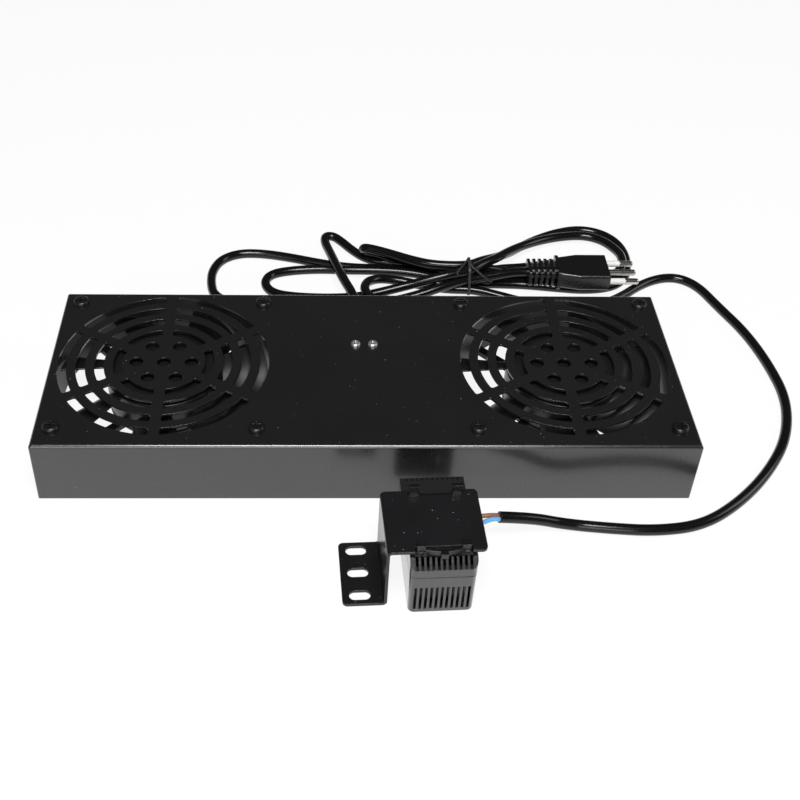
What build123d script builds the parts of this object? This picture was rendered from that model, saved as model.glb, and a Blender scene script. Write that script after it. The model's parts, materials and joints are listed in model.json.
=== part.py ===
"""Fan tray for a network cabinet: a folded steel casing with two axial fans under punched
grilles, a mains cord with a moulded plug, and a rail-mounted thermostat on its own cable.

Millimetres, +Z up, +X along the casing, front towards -Y. The origin is on the floor, under
the middle of the footprint of the casing and the thermostat together.
"""

import os
from math import cos, pi, radians, sin

from build123d import *

# Gaps between pieces that pass each other, and between those that turn in each other
small_gap = 0.1
running_gap = 0.03

# Fans and their places in the casing
fan_size = 120.0
fan_spacing = 220.0
fan_back = 2.0
fan_clearance = 0.8

# Casing, as large as both fans side by side need
sheet = 1.2
tray_length = fan_spacing + fan_size + 2 * (sheet + fan_clearance)
tray_depth = fan_size + 2 * (sheet + fan_clearance + fan_back)
tray_height = 38.0
top_bend = 2.0
side_bend = 1.0

# Duct and fixing holes of each fan
fan_depth = 25.4
fan_corner = 5.0
fan_hole_pitch = fan_size - 15.0
fan_hole = 4.3
fan_flange = 4.0
duct_bore = fan_size - 4.0
duct_wall = 1.6

# Grille over each fan
ring_count = 4
first_ring = 25.0
last_ring = duct_bore / 2 - 3.0
ring_pitch = (last_ring - first_ring) / (ring_count - 1)
slot_width = 5.0
slot_end_radius = 1.2
spoke_count = 6
spoke_width = 5.8
eye_count = 6
eye_circle = 15.0
eye_diameter = 7.5

# Motor base and struts of the fan frame
motor_base = 63.0
motor_base_thick = 2.5
strut_count = 4
strut_width = 5.0
strut_depth = 3.0
strut_angle = 45.0

# Impeller
hub_diameter = 63.0
hub_wall = 2.0
hub_below_grille = 3.0
hub_above_base = 1.2
blade_count = 7
tip_clearance = 1.3
blade_thick = 2.0
blade_edge = 0.9
root_chord = 24.0
root_pitch = 38.0
tip_chord = 34.0
tip_pitch = 27.0
blade_sweep = 13.0
blade_camber = 2.6

# Motor
shaft_diameter = 4.0
bearing_diameter = 11.0
bearing_width = 4.0
bearing_shoulder = 4.0
bearing_tube_wall = 1.7
clip_thick = 0.6
clip_reach = 1.5
clip_groove = 0.4
rotor_ring_thick = 4.4
rotor_top_thick = 2.0
rotor_boss = 9.0
core_height = 7.0
core_diameter = 48.4
yoke_diameter = 24.0
pole_neck = 8.0
pole_shoe = 4.2
pole_gap = 4.0
coil_thick = 3.1
coil_overhang = 2.2

# Fan screws and nuts
screw_diameter = 4.0
screw_head = 8.8
screw_head_height = 2.4
screw_past_nut = 1.4
nut_flats = 7.0
nut_height = 3.2
recess_width = 1.1
recess_length = 4.6
recess_depth = 1.3
small_recess = 0.65
head_round = 0.65

# Terminal block under the middle of the casing
block_back = 17.3
pole_pitch = 9.6
pole_count = 3
block_width = 17.0
block_height = 13.0
block_waist = 1.6
block_screw = 3.0
block_screw_head = 5.4
block_screw_head_height = 1.7
block_nut_flats = 5.5
block_nut_height = 2.4
insert_diameter = 5.2
insert_bore = 3.2
clamp_screw = 3.0
clamp_screw_height = 3.4

# Cords
cord_diameter = 6.0
gland_height = 12.0
power_gland_x = -2.0
sensor_gland_x = 15.0
gland_hole = 12.7
gland_flange = 17.0
gland_flange_thick = 2.5
gland_sleeve = 17.5
gland_sleeve_root = 11.0
gland_sleeve_tip = 8.0
gland_barb = 0.7
gland_inside = 6.0
grommet_flange = 13.0
grommet_hole = 9.5
grommet_lip = 3.0

# Thermostat bracket, a strip bent into a step and turned a little on the floor
bracket_turn = 2.6
bracket_x = 5.2
bracket_front = 50.8
bracket_width = 39.0
bracket_height = 38.0
bracket_sheet = 1.5
bracket_bend = 1.0
bracket_foot = 20.0
bracket_top = 47.5
bracket_corner = 2.5
foot_slot_length = 10.5
foot_slot_width = 5.5
foot_slot_pitch = 14.1
foot_slot_count = 3
foot_slot_x = -11.3
rail_notch_depth = 3.2
rail_notch_width = 27.0

# Thermostat housing
stat_x = 26.8
stat_width = 32.0
stat_length = 60.0
stat_past_bracket = 5.4
stat_wall = 1.5
stat_corner = 3.0
cover_height = 25.5
cover_draft = 0.7
cover_floor = 1.8
shell_chamfer = 3.0
seam_chamfer = 0.35
vent_count = 11
vent_pitch = 2.56
vent_width = 1.35
vent_low = 2.5
vent_high = 18.4
comb_reach = 6.0
comb_below = 1.4

# Rail clip on the back of the thermostat
clip_base = 1.5
clip_length = 37.6
clip_leg_spacing = 21.4
clip_leg_width = 4.0
clip_leg_thick = 2.0
rear_leg_rise = 5.6
rear_leg_cap = 5.4
front_leg_rise = 2.6
clip_hook = 1.5
spring_bar = 1.2
spring_bow = 2.4
release_tab = 3.6
release_tab_reach = 2.6

# Thermostat dial and switch
dial_diameter = 20.0
dial_from_end = 20.0
dial_recess = 0.8
dial_clearance = 0.3
dial_flange = 1.6
dial_flange_thick = 1.2
spindle_diameter = 6.0
spindle_length = 4.3
switch_lift = 3.2
switch_height = 14.0
switch_width = 26.0
switch_length = 31.0
switch_arm_length = 15.0
switch_arm_width = 12.0
switch_post = 3.2
strip_thick = 0.6
strip_width = 8.0
strip_rise = 2.4
clamp_width = 6.0
clamp_length = 7.5
clamp_height = 10.0
clamp_gap = 0.8
clamp_bore = 2.6
terminal_screw = 3.6
terminal_screw_head = 4.8
terminal_screw_height = 2.4
wire_height = 15.0

# Cores between the sheath and the thermostat
core_cover = 2.4
core_straight = 4.0

# Plug, lying flat behind the casing
plug_x = 159.5
plug_back = 57.3
plug_width = 25.0
plug_thick = 11.6
plug_length = 33.0
plug_neck_width = 18.5
plug_taper_length = 14.0
plug_round = 2.0
plug_flange_width = 21.0
plug_flange_height = 13.6
plug_flange_thick = 2.0
rib_count = 5
rib_pitch = 3.6
rib_thick = 1.8
rib_width = 17.0
rib_height = 11.0
rib_core = 8.0
pin_diameter = 4.0
pin_length = 19.0
pin_pitch = 9.5
pin_sleeve_length = 10.0
pin_sleeve_recess = 0.5

# Tie round the waist of the bundle
tie_x = 72.0
tie_reach = 4.5
tie_band = 3.2
tie_thick = 0.9
tie_tail = 7.0

# Routes on the floor behind the casing, from the middle of its rear wall
lying = cord_diameter / 2 + small_gap
power_lead_route = [
    (power_gland_x, gland_flange_thick + gland_sleeve, gland_height),
    (power_gland_x, 34, gland_height),
    (-7, 55, 13.2),
    (-15, 76, 14.5),
    (-22, 93, 14.5),
    (-11, 99.5, 13.5),
    (1, 84.5, 11),
    (12, 77, 8.5),
]
sensor_cable_route = [
    (sensor_gland_x, grommet_lip, gland_height),
    (sensor_gland_x, 15, gland_height),
    (4, 32, 12),
    (3, 46, 10),
    (13, 55, 8.4),
    (27, 55.5, 5.6),
    (48, 51.5, 4.4),
    (74, 49.9, 5),
    (92, 47.5, lying),
    (106, 41, lying),
    (124, 35, lying),
    (144, 33.5, lying),
    (164, 40.5, lying),
    (186, 60, lying),
    (206, 68.5, lying),
    (221, 59.5, lying),
    (230, 34, lying),
    (240, 9, lying),
    (245.5, -21, lying),
    (246, -53, lying),
    (236.5, -85, lying),
    (219, -113, lying),
    (197, -135.5, lying),
    (173, -150, lying),
    (148, -153.8, lying),
    (124, -152, lying),
    (101, -149, lying),
]

# Last points of the thermostat's cable, from the thermostat's side wall, and from the plug's tail
sensor_cable_end = [(36.2, 23.7, 10.5), (18.6, 21.4, 14.5)]
plug_lead_route = [(0, 0, 0), (-8, 0, 0), (-16.5, 0.7, -1)]

# Outline of the tied hank seen from above, and its heights along the casing
hank_plan = [
    (76, 46.6),
    (68, 46.6),
    (40, 39),
    (4, 33),
    (-30, 29.5),
    (-64, 29.5),
    (-89, 35),
    (-102, 53),
    (-102, 75),
    (-90, 93),
    (-66, 97),
    (-40, 93.5),
    (-6, 87),
    (4, 92),
    (22, 89.5),
    (46, 82.5),
    (68, 71.9),
    (76, 71.9),
    (86, 77),
    (110, 104),
    (127, 120),
    (144, 125.5),
    (162, 124.5),
    (176, 117),
    (183, 103),
    (183, 84),
    (177, 65),
    (169, 50),
    (155, 44.5),
    (139, 44.5),
    (122, 49.5),
    (104, 52),
    (88, 51),
]
hank_round = 3.0
hank_low_top = 6.2
hank_profile = [
    (-110, 0),
    (56, 0),
    (64, 1.6),
    (80, 1.6),
    (88, 0),
    (195, 0),
    (195, hank_low_top),
    (124, hank_low_top),
    (108, 7.2),
    (96, 12.5),
    (82, 18.9),
    (64, 18.9),
    (40, 17.4),
    (4, 15.4),
    (-3, hank_low_top),
    (-110, hank_low_top),
]

# Derived places
turn = radians(bracket_turn)
stat_front = bracket_width / 2 + stat_past_bracket
corner_back = stat_front - stat_corner
front_reach = (
    tray_depth / 2
    + bracket_front
    + corner_back * cos(turn)
    - (stat_x - stat_width / 2 + stat_corner) * sin(turn)
    + stat_corner
)
rear_reach = tray_depth / 2 + gland_flange_thick + gland_sleeve
tray_y = (front_reach - rear_reach) / 2
fan_x = fan_spacing / 2
fan_floor = tray_height - sheet - fan_depth
under_sheet = tray_height - sheet
mid_sheet = bracket_sheet / 2
stat_y = stat_length / 2 - stat_front
shell_top = bracket_height - bracket_sheet - clip_base
shell_height = shell_top - cover_height

tray = Plane((0, tray_y, 0))
stat = Plane((bracket_x, tray_y - tray_depth / 2 - bracket_front, 0), x_dir=(cos(turn), sin(turn), 0))
behind = Plane((0, tray_y + tray_depth / 2, 0))
plug = Plane(behind.from_local_coords((plug_x, plug_back, hank_low_top + plug_flange_height / 2)))


def facing_front(base, y=0.0):
    """Upright plane of a base plane, seen from the front, at a distance behind its origin."""
    return Plane(base.from_local_coords((0, y, 0)), x_dir=base.x_dir, z_dir=-base.y_dir)


def facing_right(base, x=0.0):
    """Upright plane of a base plane, seen from its right, at a distance along it."""
    return Plane(base.from_local_coords((x, 0, 0)), x_dir=base.y_dir, z_dir=base.x_dir)


def fan_plane(side):
    """Bottom face of a fan: side is -1 for the left one and 1 for the right one."""
    return Plane((side * fan_x, tray_y + fan_back, fan_floor))


def corners(pitch):
    """Locations of the four fixing holes of a fan."""
    return GridLocations(pitch, pitch, 2, 2)


def ring_slots(middle):
    """One ring of curved slots, parted by the spokes."""
    with BuildSketch() as ring:
        Circle(middle + slot_width / 2)
        Circle(middle - slot_width / 2, mode=Mode.SUBTRACT)
        with PolarLocations(0, spoke_count, start_angle=180 / spoke_count):
            Rectangle(tray_depth, spoke_width, align=(Align.MIN, Align.CENTER), mode=Mode.SUBTRACT)
        fillet(ring.vertices(), slot_end_radius)
    return ring.sketch


# Casing: a shallow pan, open underneath, with both grilles punched in its top
rings = [ring_slots(first_ring + number * ring_pitch) for number in range(ring_count)]
with BuildPart() as tray_inside:
    with BuildSketch(tray):
        Rectangle(tray_length - 2 * sheet, tray_depth - 2 * sheet)
    extrude(amount=under_sheet)
    fillet(tray_inside.faces().sort_by(Axis.Z)[-1].edges(), top_bend - sheet)

with BuildPart() as tray_casing:
    with BuildSketch(tray):
        Rectangle(tray_length, tray_depth)
    extrude(amount=tray_height)
    fillet(tray_casing.edges().filter_by(Axis.Z), side_bend)
    fillet(tray_casing.faces().sort_by(Axis.Z)[-1].edges(), top_bend)
    add(tray_inside.part, mode=Mode.SUBTRACT)
    with BuildSketch(tray.offset(under_sheet)):
        with Locations((-fan_x, fan_back), (fan_x, fan_back)):
            for ring in rings:
                add(ring)
            Circle(eye_diameter / 2)
            with PolarLocations(eye_circle, eye_count):
                Circle(eye_diameter / 2)
            with corners(fan_hole_pitch):
                Circle(fan_hole / 2)
        with Locations((0, block_back)):
            with GridLocations(pole_pitch, 1, 2, 1):
                Circle(block_screw / 2 + small_gap)
    extrude(amount=sheet, mode=Mode.SUBTRACT)
    with BuildSketch(facing_front(tray, tray_depth / 2)):
        with Locations((power_gland_x, gland_height)):
            Circle(gland_hole / 2)
        with Locations((sensor_gland_x, gland_height)):
            Circle(grommet_hole / 2)
    extrude(amount=sheet, mode=Mode.SUBTRACT)

PIECES = {"tray_casing": tray_casing}


def fan_frame(side):
    """Die-cast frame: two square flanges, the round duct, struts, motor base and bearing tube."""
    base = fan_plane(side)
    tube_bore = bearing_diameter / 2
    tube_outside = tube_bore + bearing_tube_wall
    with BuildPart() as frame:
        with BuildSketch(base):
            RectangleRounded(fan_size, fan_size, fan_corner)
        extrude(amount=fan_depth)
        with BuildSketch(base.offset(fan_flange)):
            Rectangle(fan_size + 2, fan_size + 2)
            Circle(duct_bore / 2 + duct_wall, mode=Mode.SUBTRACT)
        extrude(amount=fan_depth - 2 * fan_flange, mode=Mode.SUBTRACT)
        with BuildSketch(base):
            Circle(duct_bore / 2)
            with corners(fan_hole_pitch):
                Circle(fan_hole / 2)
        extrude(amount=fan_depth, mode=Mode.SUBTRACT)
        with BuildSketch(base):
            with PolarLocations(0, strut_count, start_angle=strut_angle):
                Rectangle(
                    duct_bore / 2 + duct_wall / 2,
                    strut_width,
                    align=(Align.MIN, Align.CENTER),
                )
        extrude(amount=strut_depth)
        with BuildSketch(base):
            Circle(motor_base / 2)
        extrude(amount=motor_base_thick)
        with BuildSketch(base.offset(motor_base_thick)):
            Circle(motor_base / 2)
            Circle(tube_outside, mode=Mode.SUBTRACT)
        extrude(amount=strut_depth, mode=Mode.SUBTRACT)
        with BuildSketch(base.offset(motor_base_thick)):
            Circle(tube_outside)
            Circle(tube_bore, mode=Mode.SUBTRACT)
        extrude(amount=bearing_top - motor_base_thick)
        with BuildSketch(base.offset(bearing_low + bearing_width)):
            Circle(tube_bore)
            Circle(bearing_diameter / 2 - clip_reach, mode=Mode.SUBTRACT)
        extrude(amount=bearing_shoulder)
    return frame


hub_low = motor_base_thick + hub_above_base
hub_top = fan_depth - hub_below_grille
cup_top = hub_top - hub_wall
cup_outside = hub_diameter / 2 - hub_wall
shaft_low = motor_base_thick + hub_above_base / 2
clip_low = shaft_low + clip_thick + clip_groove
bearing_low = clip_low + clip_thick + small_gap
bearing_top = bearing_low + 2 * bearing_width + bearing_shoulder
blade_middle = (hub_low + hub_top) / 2
core_low = bearing_low + bearing_width + bearing_shoulder / 2 - core_height / 2


def blade_plane(base, radius, lead):
    """Plane square to a fan's radius, for one section of a blade that leads by an angle."""
    out = Vector(1, 0, 0).rotate(Axis.Z, lead)
    return Plane(base.origin + out * radius + Vector(0, 0, blade_middle), Vector(0, 0, 1).cross(out), out)


def blade_section(plane, chord, pitch):
    """Thin cambered section of a blade, turned to its pitch."""
    half = chord / 2
    edge = blade_edge / 2
    above = blade_camber + blade_thick / 2
    below = blade_camber - blade_thick / 2
    points = [(-half, edge), (0, above), (half, edge), (half, -edge), (0, below), (-half, -edge)]
    a, b, c, d, e, f = [Vector(p).rotate(Axis.Z, pitch) for p in points]
    with BuildSketch(plane) as section:
        with BuildLine():
            ThreePointArc(a, b, c)
            Line(c, d)
            ThreePointArc(d, e, f)
            Line(f, a)
        make_face()
    return section.sketch


def impeller(side):
    """Moulded hub with swept blades, trimmed to run inside the duct."""
    base = fan_plane(side)
    tip = duct_bore / 2 - tip_clearance
    with BuildPart() as blade:
        root = blade_section(blade_plane(base, cup_outside - rotor_ring_thick, 0), root_chord, root_pitch)
        end = blade_section(blade_plane(base, tip + ring_pitch / 2, blade_sweep), tip_chord, tip_pitch)
        loft([root, end])
        with BuildSketch(base):
            Circle(tip)
            Circle(cup_outside + hub_wall / 2, mode=Mode.SUBTRACT)
        extrude(amount=fan_depth, mode=Mode.INTERSECT)
    with BuildPart() as wheel:
        with BuildSketch(base.offset(hub_low)):
            Circle(hub_diameter / 2)
        extrude(amount=hub_top - hub_low)
        fillet(wheel.edges().sort_by(Axis.Z)[-1], hub_wall / 2)
        with BuildSketch(base.offset(hub_low)):
            Circle(cup_outside)
        extrude(amount=cup_top - hub_low, mode=Mode.SUBTRACT)
        for number in range(blade_count):
            spin = Axis(base.origin, (0, 0, 1))
            add(blade.part.rotate(spin, number * 360 / blade_count))
    return wheel


def rotor_cup(side):
    """Steel cup of the outside rotor, pressed into the hub, with a boss for the shaft."""
    base = fan_plane(side)
    with BuildPart() as cup:
        with BuildSketch(base.offset(hub_low)):
            Circle(cup_outside)
            Circle(cup_outside - rotor_ring_thick, mode=Mode.SUBTRACT)
        extrude(amount=cup_top - hub_low)
        with BuildSketch(base.offset(cup_top - rotor_top_thick)):
            Circle(cup_outside)
        extrude(amount=rotor_top_thick)
        with BuildSketch(base.offset(bearing_top + small_gap)):
            Circle(rotor_boss / 2)
        extrude(amount=cup_top - bearing_top - small_gap)
        with BuildSketch(base.offset(bearing_top)):
            Circle(shaft_diameter / 2)
        extrude(amount=fan_depth, mode=Mode.SUBTRACT)
    return cup


def shaft(side):
    """Steel shaft with a groove for its retaining clip."""
    base = fan_plane(side)
    with BuildPart() as rod:
        with BuildSketch(base.offset(shaft_low)):
            Circle(shaft_diameter / 2)
        extrude(amount=cup_top - shaft_low)
        with BuildSketch(base.offset(clip_low)):
            Circle(shaft_diameter / 2)
            Circle(shaft_diameter / 2 - clip_groove, mode=Mode.SUBTRACT)
        extrude(amount=clip_thick, mode=Mode.SUBTRACT)
    return rod


def shaft_clip(side):
    """Open spring ring in the shaft's groove, under the lower bearing."""
    base = fan_plane(side)
    with BuildPart() as ring:
        with BuildSketch(base.offset(clip_low)):
            Circle(shaft_diameter / 2 + clip_reach)
            Circle(shaft_diameter / 2 - clip_groove, mode=Mode.SUBTRACT)
            Rectangle(
                shaft_diameter,
                shaft_diameter / 2,
                align=(Align.MIN, Align.CENTER),
                mode=Mode.SUBTRACT,
            )
        extrude(amount=clip_thick)
    return ring


def bearings(side):
    """The two ball bearings, as closed rings with shield grooves."""
    base = fan_plane(side)
    shield = (bearing_diameter + shaft_diameter) / 4
    with BuildPart() as pair:
        for low in (bearing_low, bearing_top - bearing_width):
            with BuildSketch(base.offset(low)):
                Circle(bearing_diameter / 2)
                Circle(shaft_diameter / 2 + running_gap, mode=Mode.SUBTRACT)
            extrude(amount=bearing_width)
            with BuildSketch(base.offset(low + bearing_width - clip_groove)):
                Circle(shield + clip_thick)
                Circle(shield - clip_thick, mode=Mode.SUBTRACT)
            extrude(amount=clip_groove, mode=Mode.SUBTRACT)
    return pair


def stator_core(side):
    """Laminated core with four poles and shoes, pressed on the bearing tube."""
    base = fan_plane(side)
    shoe_inside = core_diameter / 2 - pole_shoe
    with BuildPart() as core:
        with BuildSketch(base.offset(core_low)):
            Circle(core_diameter / 2)
            Circle(shoe_inside, mode=Mode.SUBTRACT)
            with PolarLocations(0, 4, start_angle=45):
                Rectangle(core_diameter, pole_gap, align=(Align.MIN, Align.CENTER), mode=Mode.SUBTRACT)
            Rectangle(2 * shoe_inside + 1, pole_neck)
            Rectangle(pole_neck, 2 * shoe_inside + 1)
            Circle(yoke_diameter / 2)
            Circle(bearing_diameter / 2 + bearing_tube_wall, mode=Mode.SUBTRACT)
        extrude(amount=core_height)
    return core


def windings(side):
    """One coil round each of the four poles."""
    base = fan_plane(side)
    near = yoke_diameter / 2 + clip_thick
    far = core_diameter / 2 - pole_shoe - coil_thick / 2
    neck = pole_neck + 2 * small_gap
    with BuildPart() as coils:
        with BuildSketch(base.offset(core_low - coil_overhang)):
            with PolarLocations((near + far) / 2, 4):
                RectangleRounded(far - near, neck + 2 * coil_thick, coil_thick / 3)
        extrude(amount=core_height + 2 * coil_overhang)
        with BuildSketch(base.offset(core_low - small_gap)):
            with PolarLocations((near + far) / 2, 4):
                Rectangle(coil_thick * 3, neck)
        extrude(amount=core_height + 2 * small_gap, mode=Mode.SUBTRACT)
    return coils


def fan_screws(side):
    """Four long cross-head screws through the casing and both flanges of a fan."""
    base = fan_plane(side)
    head_seat = base.offset(fan_depth + sheet)
    shank_length = sheet + fan_depth + nut_height + screw_past_nut
    with BuildPart() as screws:
        with BuildSketch(head_seat):
            with corners(fan_hole_pitch):
                Circle(screw_diameter / 2 - running_gap)
        extrude(amount=-shank_length)
        with BuildSketch(head_seat):
            with corners(fan_hole_pitch):
                Circle(screw_head / 2)
        extrude(amount=screw_head_height)
        fillet(screws.edges().group_by(Axis.Z)[-1], screw_head_height * head_round)
        with BuildSketch(head_seat.offset(screw_head_height)):
            with corners(fan_hole_pitch):
                Rectangle(recess_length, recess_width)
                Rectangle(recess_width, recess_length)
        extrude(amount=-recess_depth, mode=Mode.SUBTRACT)
    return screws


def fan_nuts(side):
    """The nuts of those screws, under the lower flange."""
    with BuildPart() as nuts:
        with BuildSketch(fan_plane(side)):
            with corners(fan_hole_pitch):
                RegularPolygon(nut_flats / 2, 6, major_radius=False)
                Circle(screw_diameter / 2, mode=Mode.SUBTRACT)
        extrude(amount=-nut_height)
    return nuts


for side, word in ((-1, "left"), (1, "right")):
    PIECES[f"{word}_fan_frame"] = fan_frame(side)
    PIECES[f"{word}_impeller"] = impeller(side)
    PIECES[f"{word}_rotor_cup"] = rotor_cup(side)
    PIECES[f"{word}_shaft"] = shaft(side)
    PIECES[f"{word}_shaft_clip"] = shaft_clip(side)
    PIECES[f"{word}_bearings"] = bearings(side)
    PIECES[f"{word}_stator_core"] = stator_core(side)
    PIECES[f"{word}_windings"] = windings(side)
    PIECES[f"{word}_fan_screws"] = fan_screws(side)
    PIECES[f"{word}_fan_nuts"] = fan_nuts(side)

# Terminal block, hung under the casing by two bright screws
block_floor = under_sheet - block_height
block_plane = Plane((0, tray_y + block_back, block_floor))
insert_height = block_height / 2 + 1

with BuildPart() as terminal_block:
    with BuildSketch(block_plane):
        Rectangle(pole_count * pole_pitch, block_width)
        with GridLocations(pole_pitch, block_width, 2, 2):
            Circle(block_waist, mode=Mode.SUBTRACT)
    extrude(amount=block_height)
    with BuildSketch(block_plane):
        with GridLocations(pole_pitch, 1, 2, 1):
            Circle(block_screw / 2 + small_gap)
    extrude(amount=block_height, mode=Mode.SUBTRACT)
    with BuildSketch(facing_front(block_plane, block_width / 2)):
        with Locations((0, insert_height)):
            with GridLocations(pole_pitch, 1, pole_count, 1):
                Circle(insert_diameter / 2)
    extrude(amount=block_width, mode=Mode.SUBTRACT)
    with BuildSketch(block_plane):
        with GridLocations(pole_pitch, block_width / 2, pole_count, 2):
            Circle(clamp_screw / 2 + small_gap)
    extrude(amount=insert_height, mode=Mode.SUBTRACT)
PIECES["terminal_block"] = terminal_block

insert_length = block_width - 2 * block_waist
with BuildPart() as terminal_inserts:
    with BuildSketch(facing_front(block_plane, insert_length / 2)):
        with Locations((0, insert_height)):
            with GridLocations(pole_pitch, 1, pole_count, 1):
                Circle(insert_diameter / 2)
                Circle(insert_bore / 2, mode=Mode.SUBTRACT)
    extrude(amount=insert_length)
    with BuildSketch(block_plane):
        with GridLocations(pole_pitch, block_width / 2, pole_count, 2):
            Circle(clamp_screw / 2 + small_gap)
    extrude(amount=insert_height, mode=Mode.SUBTRACT)
PIECES["terminal_inserts"] = terminal_inserts

clamp_screw_low = block_plane.offset(insert_height - insert_bore / 2 - clamp_screw_height)
with BuildPart() as terminal_clamp_screws:
    with BuildSketch(clamp_screw_low):
        with GridLocations(pole_pitch, block_width / 2, pole_count, 2):
            Circle(clamp_screw / 2)
    extrude(amount=clamp_screw_height)
    with BuildSketch(clamp_screw_low):
        with GridLocations(pole_pitch, block_width / 2, pole_count, 2):
            Rectangle(clamp_screw, clip_thick)
    extrude(amount=clip_thick, mode=Mode.SUBTRACT)
PIECES["terminal_clamp_screws"] = terminal_clamp_screws

block_screw_seat = Plane((0, tray_y + block_back, tray_height))
with BuildPart() as terminal_block_screws:
    with BuildSketch(block_screw_seat):
        with GridLocations(pole_pitch, 1, 2, 1):
            Circle(block_screw / 2)
    extrude(amount=-(sheet + block_height + block_nut_height + screw_past_nut))
    with BuildSketch(block_screw_seat):
        with GridLocations(pole_pitch, 1, 2, 1):
            Circle(block_screw_head / 2)
    extrude(amount=block_screw_head_height)
    fillet(terminal_block_screws.edges().group_by(Axis.Z)[-1], block_screw_head_height * head_round)
    with BuildSketch(block_screw_seat.offset(block_screw_head_height)):
        with GridLocations(pole_pitch, 1, 2, 1):
            Rectangle(recess_length * small_recess, recess_width * small_recess)
            Rectangle(recess_width * small_recess, recess_length * small_recess)
    extrude(amount=-recess_depth * small_recess, mode=Mode.SUBTRACT)
PIECES["terminal_block_screws"] = terminal_block_screws

with BuildPart() as terminal_block_nuts:
    with BuildSketch(block_plane):
        with GridLocations(pole_pitch, 1, 2, 1):
            RegularPolygon(block_nut_flats / 2, 6, major_radius=False)
            Circle(block_screw / 2, mode=Mode.SUBTRACT)
    extrude(amount=-block_nut_height)
PIECES["terminal_block_nuts"] = terminal_block_nuts

# Strain relief of the mains cord: flange, tapered sleeve, and a barbed neck through the wall
gland_middle = behind.from_local_coords((power_gland_x, 0, gland_height))
gland_plane = Plane(gland_middle, x_dir=(-1, 0, 0), z_dir=(0, 1, 0))
with BuildPart() as power_strain_relief:
    with BuildSketch(gland_plane):
        Circle(gland_flange / 2)
    extrude(amount=gland_flange_thick)
    with BuildSketch(gland_plane.offset(gland_flange_thick)):
        Circle(gland_sleeve_root / 2)
    with BuildSketch(gland_plane.offset(gland_flange_thick + gland_sleeve)):
        Circle(gland_sleeve_tip / 2)
    loft()
    with BuildSketch(gland_plane):
        Circle(gland_hole / 2 - small_gap)
    extrude(amount=-(sheet + gland_inside))
    with BuildSketch(gland_plane.offset(-sheet - small_gap)):
        Circle(gland_hole / 2 + gland_barb)
    extrude(amount=-gland_inside / 3)
PIECES["power_strain_relief"] = power_strain_relief

# Rubber grommet of the thermostat's cable: two lips with the sheet between them
grommet_middle = behind.from_local_coords((sensor_gland_x, 0, gland_height))
grommet_plane = Plane(grommet_middle, x_dir=(-1, 0, 0), z_dir=(0, 1, 0))
with BuildPart() as cable_grommet:
    with BuildSketch(grommet_plane):
        Circle(grommet_flange / 2)
    extrude(amount=grommet_lip)
    fillet(cable_grommet.edges().sort_by(Axis.Y)[-1], grommet_lip / 3)
    with BuildSketch(grommet_plane):
        Circle(grommet_hole / 2 - small_gap)
    extrude(amount=-sheet)
    with BuildSketch(grommet_plane.offset(-sheet)):
        Circle(grommet_flange / 2)
    extrude(amount=-grommet_lip)
PIECES["cable_grommet"] = cable_grommet

# Bracket: one strip bent up and over, cut to its outline with rail notches and foot slots
with BuildPart() as thermostat_bracket:
    with BuildSketch(facing_front(stat)):
        with BuildLine() as fold:
            FilletPolyline(
                (-bracket_foot, mid_sheet),
                (mid_sheet, mid_sheet),
                (mid_sheet, bracket_height - mid_sheet),
                (bracket_top, bracket_height - mid_sheet),
                radius=bracket_bend + mid_sheet,
            )
        trace(line_width=bracket_sheet)
    extrude(amount=bracket_width / 2, both=True)
    with BuildSketch(stat):
        with Locations(((bracket_top - bracket_foot) / 2, 0)):
            RectangleRounded(bracket_top + bracket_foot, bracket_width, bracket_corner)
        with Locations((stat_x, 0)):
            with GridLocations(1, bracket_width, 1, 2):
                Rectangle(rail_notch_width, 2 * rail_notch_depth, mode=Mode.SUBTRACT)
        with Locations((foot_slot_x, 0)):
            with GridLocations(1, foot_slot_pitch, 1, foot_slot_count):
                SlotOverall(foot_slot_length, foot_slot_width, mode=Mode.SUBTRACT)
    extrude(amount=bracket_height, mode=Mode.INTERSECT)
PIECES["thermostat_bracket"] = thermostat_bracket

# Thermostat housing: a vented cover below and the back shell above it
stat_floor = Plane(stat.from_local_coords((stat_x, stat_y, 0)), x_dir=stat.x_dir)
inner_width = stat_width - 2 * stat_wall
inner_length = stat_length - 2 * stat_wall
draft_in = 2 * cover_height * sin(radians(cover_draft)) / cos(radians(cover_draft))
dial_y = dial_from_end - stat_length / 2
arm_y = dial_y + switch_length / 2 + switch_arm_length / 2
arm_right = switch_width / 2 - clamp_length - small_gap
clamp_rows = [arm_y - (clamp_width + clamp_gap) / 2, arm_y + (clamp_width + clamp_gap) / 2]
clamp_x = arm_right + clamp_length / 2


def end_vents(low, reach):
    """Row of slots across each end of the thermostat, at a height, reaching in from the end."""
    with BuildSketch(stat_floor.offset(low)) as vents:
        with GridLocations(vent_pitch, stat_length, vent_count, 2):
            Rectangle(vent_width, 2 * reach)
    return vents.sketch


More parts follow.
